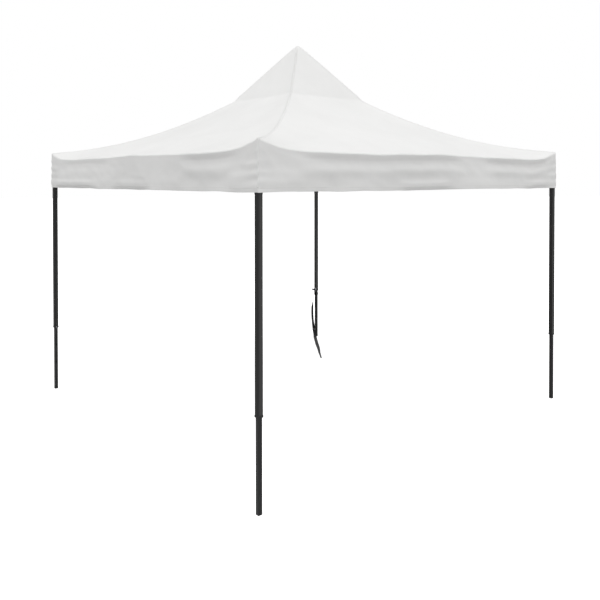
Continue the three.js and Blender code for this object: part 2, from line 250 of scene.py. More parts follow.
@dataclass(frozen=True)
class ClothFinish(Finish):
    """Plain woven cloth, its threads and stitches drawn along the piece's own maps.

    Attributes:
        thread: The spacing of the drawn threads in metres.
        sheen: How much the loose fibres catch grazing light.
        creases: How deep the soft fold marks are, in metres.
        stitches: The distances of the two stitch rows from the seam in metres, or none.
        pitch: The length of one drawn stitch with its gap in metres.
        stitch_share: The stitch's own share of that length.
    """

    thread: float = 6 * MM
    sheen: float = 0.15
    creases: float = 4 * MM
    stitches: tuple[float, ...] = ()
    pitch: float = 9 * MM
    stitch_share: float = 0.62

    def stitch_mask(self, tree: NodeTree) -> Node:
        """Adds the rows of stitches beside a seam, read from the map named seam.

        Args:
            tree: The node tree.

        Returns:
            A node whose value is 1 on a stitch and 0 elsewhere.
        """
        seam = add_node(tree, "UVMap", {"uv_map": "seam"})
        axes = add_node(tree, "SeparateXYZ", {}, {0: seam.outputs["UV"]})
        step = add_node(tree, "Math", {"operation": "FRACT"})
        scaled = add_node(tree, "Math", {"operation": "DIVIDE", 1: self.pitch}, {0: axes.outputs["X"]})
        tree.links.new(scaled.outputs["Value"], step.inputs[0])
        dash = add_node(
            tree, "Math", {"operation": "LESS_THAN", 1: self.stitch_share}, {0: step.outputs["Value"]}
        )
        rows = [
            add_node(
                tree, "Math", {"operation": "COMPARE", 1: distance, 2: 1.1 * MM}, {0: axes.outputs["Y"]}
            ).outputs["Value"]
            for distance in self.stitches
        ]
        either = add_node(tree, "Math", {"operation": "MAXIMUM"}, dict(enumerate(rows)))
        return add_node(
            tree, "Math", {"operation": "MULTIPLY"}, {0: either.outputs["Value"], 1: dash.outputs["Value"]}
        )

    def build(self) -> Material:
        """Makes the weave from two crossed wave bands, over slow patches and soft fold marks.

        Returns:
            The material.
        """
        material, tree, shader, place = self.begin()
        shader.inputs["Sheen Weight"].default_value = self.sheen
        self.patches(tree, shader, place)
        bands = [
            add_node(
                tree,
                "TexWave",
                {"bands_direction": axis, "Scale": 0.314 / self.thread, "Distortion": 0.4, "Detail": 1.0},
                {"Vector": place.outputs["UV"]},
            )
            for axis in ("X", "Y")
        ]
        weave = add_node(
            tree, "Math", {"operation": "ADD"}, {0: bands[0].outputs["Fac"], 1: bands[1].outputs["Fac"]}
        )
        marks = add_node(
            tree,
            "TexNoise",
            {"Scale": 9.0, "Detail": 4.0, "Roughness": 0.55, "Distortion": 0.8},
            {"Vector": place.outputs["UV"]},
        )
        heights = [
            (marks.outputs["Fac"], 0.35, self.creases),
            (weave.outputs["Value"], 0.25, self.grain_height),
        ]
        if self.stitches:
            mask = self.stitch_mask(tree)
            heights.append((mask.outputs["Value"], 0.8, 0.6 * MM))
            colour = shader.inputs["Base Color"].links[0].from_socket
            thread_colour = add_node(
                tree,
                "Mix",
                {"data_type": "RGBA", 7: linear("e0e0de")},
                {0: mask.outputs["Value"], 6: colour},
            )
            tree.links.new(thread_colour.outputs[2], shader.inputs["Base Color"])
        below: dict = {}
        for height, strength, distance in heights:
            bump = add_node(
                tree, "Bump", {"Strength": strength, "Distance": distance}, {"Height": height, **below}
            )
            below = {"Normal": bump.outputs["Normal"]}
        tree.links.new(below["Normal"], shader.inputs["Normal"])
        return material


# Coated polyester, plain woven: a dull near white face. Its half millimetre threads are drawn at 6 mm.
POLYESTER = ClothFinish(
    "coated_polyester", "f4f4f3", "ededec", 0.78, patch=0.5, patch_share=0.4, stitches=(3 * MM, 9 * MM)
)
# The same cloth in the valance, whose hem is turned up and stitched twice. Its colour is a touch darker
# than the roof's: painted shade, for the less light that the hanging band gets.
HEMMED_POLYESTER_PAINTED_SHADE = ClothFinish(
    "hemmed_polyester", "f1f1f0", "e9e9e8", 0.8, patch=0.4, patch_share=0.4, stitches=(4 * MM, 22 * MM)
)
# Polypropylene webbing: a coarse black weave with a dull face, its 1 mm ribs drawn at 2.5 mm.
WEBBING = ClothFinish(
    "woven_webbing",
    "202022",
    "141415",
    0.85,
    ior=1.49,
    grain_height=0.5 * MM,
    patch=0.03,
    thread=2.5 * MM,
    creases=0.5 * MM,
)
# Webbing seen edge on in the wrap, where its own weave has no map to follow.
POLYPROPYLENE = Finish("wrapped_webbing", "202022", "121213", 0.85, grain=1.2 * MM, grain_height=0.3 * MM)
# Satin black powder coat on steel tube: fine orange peel, a soft wide highlight.
POWDER_COAT = Finish("satin_powder_coat", "161617", "101011", 0.4, 0.07, ior=1.5, grain=2 * MM)
# Glass filled nylon, moulded: duller than the tubes, with a fine matt grain.
NYLON = Finish("moulded_nylon", "1c1c1d", "121213", 0.58, 0.08, ior=1.53, grain=0.8 * MM)
# Bright zinc plated steel: pins, buttons and the strap's ring.
ZINC = Finish("zinc_plated_steel", "c9cbce", "9b9ea2", 0.28, 0.1, 1.0, 1.5, 1 * MM, 0.02 * MM, 0.02)
# Black rubber: the foot plugs, scuffed grey by the ground.
RUBBER = Finish("moulded_rubber", "2a2a2b", "171717", 0.72, 0.1, ior=1.52, grain=1 * MM, patch=0.015)
# Painted floor: pale, even and without gloss.
FLOOR = Finish("painted_floor", "f2f2f2", "efefef", 0.7, 0.05, grain=6 * MM, patch=3.0)


class Finishes:
    """Makes each finish once, when a piece first asks for it."""

    def __init__(self) -> None:
        """Starts with nothing made."""
        self.made: dict[str, Material] = {}

    def get(self, finish: Finish) -> Material:
        """The material of a finish."""
        if finish.name not in self.made:
            self.made[finish.name] = finish.build()
        return self.made[finish.name]

    def dress(self, piece: Object, finish: Finish) -> None:
        """Gives a piece one finish all over."""
        piece.data.materials.clear()
        piece.data.materials.append(self.get(finish))


# ---------------------------------------------------------------- modelling


def deselect() -> None:
    """Leaves edit mode and deselects everything."""
    if bpy.context.object and bpy.context.object.mode != "OBJECT":
        bpy.ops.object.mode_set(mode="OBJECT")
    bpy.ops.object.select_all(action="DESELECT")


def activate(piece: Object) -> None:
    """Selects one object alone and makes it active."""
    deselect()
    piece.select_set(True)
    bpy.context.view_layer.objects.active = piece


def settle(piece: Object, name: str) -> Object:
    """Names a piece and moves its place into its mesh."""
    activate(piece)
    bpy.ops.object.transform_apply(location=True, rotation=True, scale=True)
    piece.name = name
    piece.data.name = name
    return piece


def box(name: str, low: Sequence[float], high: Sequence[float]) -> Object:
    """Adds a cube between two corners.

    Args:
        name: The piece's name.
        low: Its lowest corner, in metres.
        high: Its highest corner, in metres.

    Returns:
        The piece, its place in its mesh.
    """
    deselect()
    middle = [(a + b) / 2 for a, b in zip(low, high, strict=True)]
    bpy.ops.mesh.primitive_cube_add(size=1, location=middle)
    piece = bpy.context.object
    piece.scale = [b - a for a, b in zip(low, high, strict=True)]
    return settle(piece, name)



def pick_edges(piece: Object, test: Callable[[Vector, Vector], bool]) -> None:
    """Selects the edges whose two ends pass a test, and enters edit mode in edge mode."""
    activate(piece)
    bpy.ops.object.mode_set(mode="EDIT")
    bpy.ops.mesh.select_mode(type="EDGE")
    bpy.ops.mesh.select_all(action="DESELECT")
    bpy.ops.object.mode_set(mode="OBJECT")
    points = piece.data.vertices
    for edge in piece.data.edges:
        edge.select = test(points[edge.vertices[0]].co, points[edge.vertices[1]].co)
    bpy.ops.object.mode_set(mode="EDIT")


def pick_faces(piece: Object, test: Callable[[Vector, Vector], bool]) -> None:
    """Selects the faces whose centre and normal pass a test, and enters edit mode in face mode."""
    activate(piece)
    bpy.ops.object.mode_set(mode="EDIT")
    bpy.ops.mesh.select_mode(type="FACE")
    bpy.ops.mesh.select_all(action="DESELECT")
    bpy.ops.object.mode_set(mode="OBJECT")
    for face in piece.data.polygons:
        face.select = test(face.center, face.normal)
    bpy.ops.object.mode_set(mode="EDIT")


def close_edit() -> None:
    """Leaves edit mode."""
    bpy.ops.object.mode_set(mode="OBJECT")


def ease(piece: Object, width: float, segments: int = 2, angle: float = 35.0) -> Object:
    """Rounds a piece's sharp edges with an applied bevel and shades it smooth.

    Args:
        piece: The piece.
        width: The bevel's width in metres.
        segments: How many segments it has.
        angle: The least angle between faces, in degrees, that counts as sharp.

    Returns:
        The same piece.
    """
    activate(piece)
    bevel = piece.modifiers.new("eased", "BEVEL")
    bevel.width = width
    bevel.segments = segments
    bevel.limit_method = "ANGLE"
    bevel.angle_limit = math.radians(angle)
    bevel.use_clamp_overlap = True
    bpy.ops.object.modifier_apply(modifier=bevel.name)
    bpy.ops.object.shade_smooth_by_angle(angle=math.radians(angle + 5))
    return piece


def carve(piece: Object, cutters: Sequence[Object]) -> Object:
    """Cuts a piece by others and removes them.

    Args:
        piece: The piece that stays.
        cutters: The pieces that are used up.

    Returns:
        The same piece.
    """
    for cutter in cutters:
        activate(piece)
        tool = piece.modifiers.new("cut", "BOOLEAN")
        tool.operation = "DIFFERENCE"
        tool.object = cutter
        tool.solver = "EXACT"
        bpy.ops.object.modifier_apply(modifier=tool.name)
        bpy.data.objects.remove(cutter, do_unlink=True)
    return piece


def join(name: str, pieces: Sequence[Object]) -> Object:
    """Joins loose pieces into one object under a name."""
    deselect()
    for piece in pieces:
        piece.select_set(True)
    bpy.context.view_layer.objects.active = pieces[0]
    bpy.ops.object.join()
    joined = bpy.context.object
    joined.name = name
    joined.data.name = name
    return joined




def seat(piece: Object, body: str, slot: str, *nodes: str) -> Object:
    """Rides a finished piece on its body and hides the frame nodes that it stands for.

    Args:
        piece: The finished piece.
        body: The body that carries it.
        slot: The record's material slot; not used.
        nodes: The nodes that it replaces, if any.

    Returns:
        The same piece.
    """
    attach(piece, body)
    if nodes:
        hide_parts(*nodes)
    LOG.info("%s rides on %s with %d faces", piece.name, body, len(piece.data.polygons))
    return piece


def square_tube(name: str, side: float, wall: float, bottom: float, top: float) -> Object:
    """A square tube about the Z axis with rounded corners, open at both ends.

    Args:
        name: The piece's name.
        side: Its outer width.
        wall: Its wall thickness.
        bottom: The height of its lower end.
        top: The height of its upper end.

    Returns:
        The tube.
    """
    half = side / 2
    tube = box(name, (-half, -half, bottom), (half, half, top))
    pick_edges(tube, lambda a, b: abs(a.z - b.z) > 0.5 * (top - bottom))
    bpy.ops.mesh.bevel(offset=2.2 * wall, segments=4)
    close_edit()
    pick_faces(tube, lambda centre, normal: abs(normal.z) > 0.9)
    bpy.ops.mesh.inset(thickness=wall)
    bpy.ops.mesh.bridge_edge_loops()
    close_edit()
    inner = half - 0.9 * wall
    walls = [face for face in tube.data.polygons if abs(face.normal.z) < 0.1]
    if all(face.center.to_2d().length >= inner for face in walls):
        LOG.warning("%s stayed solid", name)
    activate(tube)
    bpy.ops.object.shade_smooth_by_angle(angle=math.radians(40))
    return tube


# ---------------------------------------------------------------- studio


# Each soft light's name, the way that it shines, how wide it looks in degrees, and its strength.
LAMPS: tuple[tuple[str, tuple[float, float, float], float, float], ...] = (
    ("overhead", (-0.22, 0.40, -0.92), 60, 1.085),
    ("right_back", (-0.81, -0.57, -0.10), 24, 0.335),
)


@dataclass
class Studio:
    """Camera, soft lights and floor.

    Attributes:
        eye: The camera's place.
        heading: Where it looks, as a direction.
        lens: Its focal length in millimetres.
        shift: How far the picture slides to frame the canopy.
        floor_glow: The light that the floor adds to its own look.
        bounce: The share of light that it throws back up.
    """

    eye: Vector = field(default_factory=lambda: Vector((4.4147, -3.6077, 1.7915)))
    heading: Vector = field(default_factory=lambda: Vector((-0.7501, 0.6614, -0.0142)))
    lens: float = 41.02
    shift: tuple[float, float] = (-0.0392, -0.1857)
    floor_glow: float = 0.75
    bounce: float = 0.62

    def camera(self) -> None:
        """Makes the camera at a standing eye's height, level and outside the near corner."""
        data = bpy.data.cameras.new("camera")
        data.lens = self.lens
        data.shift_x, data.shift_y = self.shift
        camera = bpy.data.objects.new("camera", data)
        bpy.context.scene.collection.objects.link(camera)
        camera.location = self.eye
        camera.rotation_mode = "QUATERNION"
        camera.rotation_quaternion = self.heading.to_track_quat("-Z", "Y")
        bpy.context.scene.camera = camera

    def sun(self, name: str, heading: Sequence[float], spread: float, strength: float) -> None:
        """Adds one wide soft light from far off.

        Args:
            name: The light's name.
            heading: The way that it shines.
            spread: How wide it looks from the canopy, in degrees.
            strength: Its strength.
        """
        data = bpy.data.lights.new(name, "SUN")
        data.angle = math.radians(spread)
        data.energy = strength
        lamp = bpy.data.objects.new(name, data)
        bpy.context.scene.collection.objects.link(lamp)
        lamp.rotation_mode = "QUATERNION"
        lamp.rotation_quaternion = Vector(heading).to_track_quat("-Z", "Y")

    def surroundings(self) -> None:
        """Sets a white backdrop whose light on the canopy is softer than it looks."""
        world = bpy.data.worlds.new("studio")
        bpy.context.scene.world = world
        world.use_nodes = True
        tree = world.node_tree
        tree.nodes.clear()
        seen = add_node(tree, "Background", {"Color": (1, 1, 1, 1), "Strength": 1.0})
        place = add_node(tree, "TexCoord")
        axes = add_node(tree, "SeparateXYZ", {}, {0: place.outputs["Generated"]})
        rise = add_node(
            tree,
            "MapRange",
            {"From Min": 0.0, "From Max": 0.7, "To Min": 0.185, "To Max": 0.8},
            {"Value": axes.outputs["Z"]},
        )
        felt = add_node(tree, "Background", {"Color": (1, 1, 1, 1)}, {"Strength": rise.outputs["Result"]})
        path = add_node(tree, "LightPath")
        mixed = add_node(
            tree,
            "MixShader",
            {},
            {0: path.outputs["Is Camera Ray"], 1: felt.outputs[0], 2: seen.outputs[0]},
        )
        add_node(tree, "OutputWorld", {}, {"Surface": mixed.outputs[0]})

    def dull_bounce(self, tree: NodeTree) -> None:
        """Makes the floor look brighter than the light that it throws back up.

        Args:
            tree: The floor material's node tree.
        """
        shader = tree.nodes["Principled BSDF"]
        shader.inputs["Emission Color"].default_value = (1, 1, 1, 1)
        shader.inputs["Emission Strength"].default_value = self.floor_glow
        bounce = add_node(tree, "BsdfDiffuse", {"Color": (self.bounce, self.bounce, self.bounce, 1)})
        path = add_node(tree, "LightPath")
        mixed = add_node(
            tree,
            "MixShader",
            {},
            {0: path.outputs["Is Camera Ray"], 1: bounce.outputs[0], 2: shader.outputs[0]},
        )
        tree.links.new(mixed.outputs[0], tree.nodes["Material Output"].inputs["Surface"])

    def floor(self, finishes: Finishes) -> None:
        """Lays a wide pale floor at the feet."""
        deselect()
        bpy.ops.mesh.primitive_plane_add(size=120, location=(0, 0, -0.5 * MM))
        floor = bpy.context.object
        floor.name = "floor"
        finishes.dress(floor, FLOOR)
        self.dull_bounce(finishes.get(FLOOR).node_tree)

    def build(self, finishes: Finishes) -> None:
        """Makes the whole studio."""
        self.camera()
        self.surroundings()
        for lamp in LAMPS:
            self.sun(*lamp)
        self.floor(finishes)
        bpy.context.scene.view_settings.view_transform = "Standard"


# ---------------------------------------------------------------- tie strap


@dataclass
class TieStrap:
    """The webbing strap that hangs from the back left leg and lies on the ground.

    Attributes:
        width: The webbing's width.
        thickness: Its thickness.
        body: The body that carries it.
        route: The points it follows, from its ring to its free end.
    """

    width: float = 25 * MM
    thickness: float = 1.6 * MM
    body: str = "leg_back_left"
    route: tuple[tuple[float, float, float], ...] = (
        (-1.470, 1.443, 0.514),
        (-1.476, 1.440, 0.475),
        (-1.487, 1.437, 0.425),
        (-1.493, 1.434, 0.365),
        (-1.494, 1.432, 0.295),
        (-1.492, 1.433, 0.215),
        (-1.485, 1.437, 0.140),
        (-1.472, 1.440, 0.075),
        (-1.452, 1.434, 0.032),
        (-1.418, 1.408, 0.010),
        (-1.360, 1.365, 0.0045),
        (-1.270, 1.298, 0.0045),
        (-1.170, 1.222, 0.0045),
        (-1.070, 1.150, 0.0045),
        (-0.970, 1.075, 0.0045),
        (-0.880, 1.004, 0.0045),
        (-0.790, 0.938, 0.0045),
        (-0.700, 0.872, 0.0045),
    )

    def centreline(self, steps: int = 8) -> list[Vector]:
        """A smooth line through the route.

        Args:
            steps: How many pieces each stretch between two points has.

        Returns:
            The line's points.
        """
        points = [Vector(point) for point in self.route]
        padded = [2 * points[0] - points[1], *points, 2 * points[-1] - points[-2]]
        line = []
        for a, b, c, d in zip(padded, padded[1:], padded[2:], padded[3:], strict=False):
            for step in range(steps):
                t = step / steps
                bend, twist = 2 * a - 5 * b + 4 * c - d, 3 * b - a - 3 * c + d
                line.append(0.5 * (2 * b + (c - a) * t + bend * t**2 + twist * t**3))
        return [*line, points[-1]]

    def width_ways(self, line: Sequence[Vector]) -> list[Vector]:
        """The way that the webbing's width points along its centreline.

        It hangs edge on from its ring, turns half way down, and lies flat on the ground.

        Args:
            line: The centreline's points.

        Returns:
            One direction for each point.
        """
        edge_on = Vector((-0.66, -0.75, 0)).normalized()
        face_on = Vector((-0.75, 0.66, 0)).normalized()
        ways: list[Vector] = []
        for at, point in enumerate(line):
            ahead = (line[min(at + 1, len(line) - 1)] - line[max(at - 1, 0)]).normalized()
            lying = max(0.0, min(1.0, (0.09 - point.z) / 0.08))
            hanging = ahead.cross(edge_on.lerp(face_on, smooth(0.44, 0.26, point.z))).normalized()
            flat = Vector((0, 0, 1)).cross(ahead)
            flat = flat.normalized() if flat.length > 0.2 else hanging
            if ways and hanging.dot(ways[-1]) < 0:
                hanging = -hanging
            if flat.dot(ways[-1] if ways else hanging) < 0:
                flat = -flat
            ways.append(hanging.lerp(flat, lying).normalized())
        return ways

    def ribbon(self) -> Object:
        """Bends a subdivided strip of webbing along the centreline.

        Returns:
            The strap.
        """
        line = self.centreline()
        count = len(line) - 1
        deselect()
        bpy.ops.mesh.primitive_grid_add(x_subdivisions=count, y_subdivisions=4, size=2)
        strap = settle(bpy.context.object, "tie_strap_webbing")
        across = self.width_ways(line)
        uv = strap.data.uv_layers.active.data
        for loop in strap.data.loops:
            co = strap.data.vertices[loop.vertex_index].co
            uv[loop.index].uv = ((co.x + 1) / 2 * 1.6, (co.y + 1) / 2 * self.width)
        for vertex in strap.data.vertices:
            place = (vertex.co.x + 1) / 2 * count
            at = min(int(round(place)), count)
            foot = smooth(0.2, 0.02, line[at].z)
            taper = 1.0 + 0.42 * foot - 0.85 * smooth(0.7, 1.0, at / count)
            curl = 0.9 * MM * math.sin(at * 0.31) * (1 - foot)
            offset = vertex.co.y * self.width / 2 * taper
            vertex.co = line[at] + across[at] * offset + Vector((0, 0, 1)) * curl
        activate(strap)
        solidify = strap.modifiers.new("webbing", "SOLIDIFY")
        solidify.thickness = self.thickness
        solidify.offset = 0
        bpy.ops.object.modifier_apply(modifier=solidify.name)
        bpy.ops.object.shade_smooth_by_angle(angle=math.radians(50))
        return strap

    def wrap(self) -> Object:
        """The turns of webbing round the inner tube, just under the collar."""
        turns = [
            square_tube("strap_turn", 29 * MM + lean, 1.6 * MM, bottom, bottom + 22 * MM)
            for lean, bottom in ((0, 0.478), (3.4 * MM, 0.474))
        ]
        wrap = join("strap_wrap", turns)
        wrap.data.transform(Matrix.Translation((-1.470, 1.470, 0)))
        return wrap

    def ring(self) -> Object:
        """The bright ring that the strap hangs from."""
        deselect()
        bpy.ops.mesh.primitive_torus_add(
            major_radius=10 * MM,
            minor_radius=2.2 * MM,
            major_segments=32,
            minor_segments=12,
            location=(-1.470, 1.4425, 0.517),
            rotation=(QUARTER, 0, 0),
        )
        return settle(bpy.context.object, "strap_ring")

    def cap(self) -> Object:
        """The domed cap of the rivet that pins the lever, on the face of the leg."""
        deselect()
        bpy.ops.mesh.primitive_uv_sphere_add(segments=32, ring_count=16, radius=13 * MM)
        cap = bpy.context.object
        cap.scale = (1, 0.55, 1)
        cap.location = (-1.463, 1.4535, 0.541)
        settle(cap, "lever_cap")
        activate(cap)
        bpy.ops.object.mode_set(mode="EDIT")
        bpy.ops.mesh.select_all(action="SELECT")
        bpy.ops.mesh.bisect(
            plane_co=(-1.463, 1.4538, 0.541), plane_no=(0, 1, 0), clear_outer=True, use_fill=True
        )
        close_edit()
        bpy.ops.object.shade_smooth_by_angle(angle=math.radians(50))
        return cap

    def lever(self) -> Object:
        """The cam lever of the strap's buckle, standing out from the leg."""
        lever = box("strap_lever", (-14 * MM, -7 * MM, -12 * MM), (34 * MM, 7 * MM, 12 * MM))
        pick_faces(lever, lambda centre, normal: normal.x > 0.9)
        bpy.ops.transform.resize(value=(1, 0.6, 0.5))
        bpy.ops.transform.translate(value=(0, 0, 3 * MM))
        close_edit()
        ease(lever, 2 * MM, 3)
        out = Vector((-0.66, -0.75, 0.12)).to_track_quat("X", "Z").to_matrix().to_4x4()
        lever.data.transform(Matrix.Translation((-1.474, 1.448, 0.532)) @ out)
        return lever

    def buckle(self) -> Object:
        """The steel slide through which the strap is doubled back, near the ground."""
        deselect()
        frame = box("strap_buckle", (-17 * MM, -9 * MM, -1.5 * MM), (17 * MM, 9 * MM, 1.5 * MM))
        slots = [
            box("slot", (-13.5 * MM, low * MM, -5 * MM), (13.5 * MM, (low + 5) * MM, 5 * MM))
            for low in (-7, 2)
        ]
        carve(frame, slots)
        ease(frame, 0.8 * MM, 2)
        turn = Matrix(((0.66, 0.10, -0.75), (0.75, 0.10, 0.66), (0.0, 0.99, 0.0))).to_4x4()
        frame.data.transform(Matrix.Translation((-1.4745, 1.4395, 0.083)) @ turn)
        return frame

    def build(self, finishes: Finishes) -> None:
        strap, wrap, ring = self.ribbon(), self.wrap(), self.ring()
        lever, cap, buckle = self.lever(), self.cap(), self.buckle()
        finishes.dress(strap, WEBBING)
        seat(strap, self.body, "webbing", "tie_strap")
        for piece, finish, slot in (
            (wrap, POLYPROPYLENE, "webbing"),
            (ring, ZINC, "button_steel"),
            (lever, NYLON, "moulded_plastic"),
            (cap, ZINC, "button_steel"),
            (buckle, ZINC, "button_steel"),
        ):
            finishes.dress(piece, finish)
            seat(piece, self.body, slot)


# ---------------------------------------------------------------- frame parts


@dataclass
class Dresser:
    """Rounds the frame's hard parts and gives them their finishes.

    Attributes:
        frame: The loaded frame.
        finishes: The finishes made so far.
    """

    frame: dict
    finishes: Finishes

    def eased(self, node: str, width: float, slot: str, finish: Finish) -> Object:
        """Copies a frame part, merges it, rounds its edges and puts it in its place.

        Args:
            node: The frame part's name.
            width: The width of its rounded edges.
            slot: Its material slot.
            finish: Its finish.

        Returns:
            The rounded part, seated on the same body.
        """
        source = self.frame["nodes"][node]
        body = source["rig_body"]
        piece = bpy.data.objects.new(f"{node}_eased", source.data.copy())
        bpy.context.scene.collection.objects.link(piece)
        activate(piece)
        bpy.ops.mesh.customdata_custom_splitnormals_clear()
        bpy.ops.object.mode_set(mode="EDIT")
        bpy.ops.mesh.select_all(action="SELECT")
        bpy.ops.mesh.remove_doubles(threshold=2e-5)
        bpy.ops.mesh.dissolve_limited(angle_limit=math.radians(0.5))
        close_edit()
        ease(piece, width)
        self.finishes.dress(piece, finish)
        return seat(piece, body, slot, node)

    def part_finish(self, piece: Object, finish: Finish, test: Callable[[Vector], bool]) -> None:
        """Gives the faces whose centre passes a test a finish of their own."""
        index = len(piece.data.materials)
        piece.data.materials.append(self.finishes.get(finish))
        for face in piece.data.polygons:
            if test(face.center):
                face.material_index = index


@dataclass
class Leg:
    """One telescoping leg with its collar, bracket, slider, lock, button and rubber foot.

    Attributes:
        corner: Which corner it stands at.
        line: How far the leg line is from both centre lines.
        outer_side: The outer tube's width.
        outer_bottom: The height of the outer tube's lower end.
        outer_top: The height of its upper end.
        foot_height: How far the rubber foot reaches up.
    """

    corner: Corner
    line: float = 1470 * MM
    outer_side: float = 32 * MM
    outer_bottom: float = 522 * MM
    outer_top: float = 1958 * MM
    foot_height: float = 30 * MM

    def off_line(self, point: Vector) -> float:
        """How far a point is from the leg line, along the wider of the two axes."""
        return max(abs(abs(point.x) - self.line), abs(abs(point.y) - self.line))

    def is_moulding(self, point: Vector) -> bool:
        """Whether a point of the outer leg is on its collar or top bracket."""
        beyond = self.off_line(point) > self.outer_side / 2 + 0.2 * MM
        return beyond or point.z < self.outer_bottom or point.z > self.outer_top

    def build(self, dresser: Dresser) -> None:
        """Makes the leg's parts."""
        corner = self.corner.label
        outer = dresser.eased(f"outer_leg_{corner}", 1.2 * MM, "powder_coat", POWDER_COAT)
        dresser.part_finish(outer, NYLON, self.is_moulding)
        inner = dresser.eased(f"inner_leg_{corner}", 1.2 * MM, "powder_coat", POWDER_COAT)
        dresser.part_finish(inner, RUBBER, lambda point: point.z < self.foot_height)
        dresser.eased(f"leg_button_{corner}", 0.6 * MM, "button_steel", ZINC)
        dresser.eased(f"slider_{corner}", 1.0 * MM, "moulded_plastic", NYLON)
        dresser.eased(f"slider_lock_{corner}", 0.5 * MM, "button_steel", ZINC)


@dataclass
class Truss:
    """The scissor bars and middle connectors of one side.

    Attributes:
        side: Which side it is on.
        line: How far its middle plane is from the centre.
        plane: How far each bar's middle is from that plane.
        thickness: A bar's thickness.
    """

    side: Side
    line: float = 1470 * MM
    plane: float = 10 * MM
    thickness: float = 12 * MM

    def is_rivet(self, off_plane: float) -> bool:
        """Whether a point that far from the truss's middle plane stands out of its bar."""
        return abs(off_plane) > self.plane + self.thickness / 2 + 0.15 * MM

    def build(self, dresser: Dresser) -> None:
        """Makes the side's bars and connectors."""
        side = self.side.label
        back = self.side.turn.inverted()
        for level in ("upper", "lower"):
            for arm in ("ahead", "behind"):
                bar = dresser.eased(f"side_bar_{level}_{side}_{arm}", 0.8 * MM, "powder_coat", POWDER_COAT)
                dresser.part_finish(bar, ZINC, lambda point: self.is_rivet((back @ point).x - self.line))
            centre = dresser.eased(f"centre_bar_{level}_{side}", 0.8 * MM, "powder_coat", POWDER_COAT)
            dresser.part_finish(centre, ZINC, lambda point: self.is_rivet((back @ point).y))
            dresser.eased(f"middle_{level}_{side}", 1.0 * MM, "moulded_plastic", NYLON)


@dataclass
class Centre:
    """The two hubs, the centre sleeve, and the sprung rod with its knob under the peak."""

    edge: float = 1.0 * MM

    def build(self, dresser: Dresser) -> None:
        """Makes the centre's parts."""
        for node in ("hub_upper", "hub_lower"):
            dresser.eased(node, self.edge, "moulded_plastic", NYLON)
        dresser.eased("centre_pole", self.edge / 2, "powder_coat", POWDER_COAT)
        dresser.eased("peak_rod", self.edge / 2, "powder_coat", POWDER_COAT)
        dresser.eased("peak_knob", self.edge, "moulded_plastic", NYLON)


# ---------------------------------------------------------------- canopy cloth


def smooth(low: float, high: float, value: float) -> float:
    """An eased step from 0 at low to 1 at high."""
    t = max(0.0, min(1.0, (value - low) / (high - low)))
    return t * t * (3 - 2 * t)


def ripple(x: float, y: float, seed: float) -> float:
    """Smooth unseeded noise from about -1 to 1, its place in the pattern set by a number."""
    return noise.noise(Vector((x, y, seed * 7.31)))


class FoldKind(Enum):
    """Where on the valance a fold lies."""

    UNDER_EAVE = "the eave stands out and the cloth tucks in under it"
    HEM = "the hem curls in"


@dataclass(frozen=True)
class Fold:
    """One soft fold along a side of the valance.

    Attributes:
        side: The side that it lies on.
        kind: Where it lies.
        start: Where it starts along the side.
        end: Where it ends.
        depth: How deep it is.
    """

    side: Side
    kind: FoldKind
    start: float
    end: float
    depth: float

    def depth_at(self, side: Side, along: float, fall: float, share: float) -> float:
        """How far the fold moves a point outwards.

        Args:
            side: The point's side.
            along: The point's place along it.
            fall: The point's distance down from the eave.
            share: The point's share of the way down.

        Returns:
            The distance in metres.
        """
        if side is not self.side:
            return 0.0
        ends = smooth(self.start, self.start + 0.22, along) * smooth(self.end, self.end - 0.22, along)
        if self.kind is FoldKind.HEM:
            bulge = math.exp(-(((share - 0.8) / 0.08) ** 2))
            return self.depth * ends * (0.3 * bulge - smooth(0.9, 1.0, share))
        lip = smooth(0.034, 0.0, fall)
        swell = math.exp(-(((fall - 0.095) / 0.035) ** 2))
        return self.depth * ends * (lip + 0.7 * swell)


TUCK, HEM = FoldKind.UNDER_EAVE, FoldKind.HEM
FOLDS: tuple[Fold, ...] = (
    Fold(Side.RIGHT, TUCK, -1.25, 0.30, 19 * MM),
    Fold(Side.RIGHT, TUCK, 0.45, 1.42, 22 * MM),
    Fold(Side.FRONT, TUCK, 0.65, 1.36, 16 * MM),
    Fold(Side.FRONT, TUCK, -1.3, -0.3, 6 * MM),
    Fold(Side.BACK, TUCK, -1.2, -0.1, 12 * MM),
    Fold(Side.BACK, TUCK, 0.3, 1.35, 10 * MM),
    Fold(Side.LEFT, TUCK, -0.9, 1.0, 13 * MM),
    Fold(Side.RIGHT, HEM, -0.45, 0.2, 24 * MM),
    Fold(Side.RIGHT, HEM, 0.95, 1.46, 20 * MM),
    Fold(Side.FRONT, HEM, -1.47, -0.5, 22 * MM),
    Fold(Side.FRONT, HEM, -0.35, 0.35, 14 * MM),
    Fold(Side.BACK, HEM, -1.1, -0.2, 13 * MM),
    Fold(Side.BACK, HEM, 0.7, 1.4, 11 * MM),
    Fold(Side.LEFT, HEM, -0.3, 0.9, 14 * MM),
)


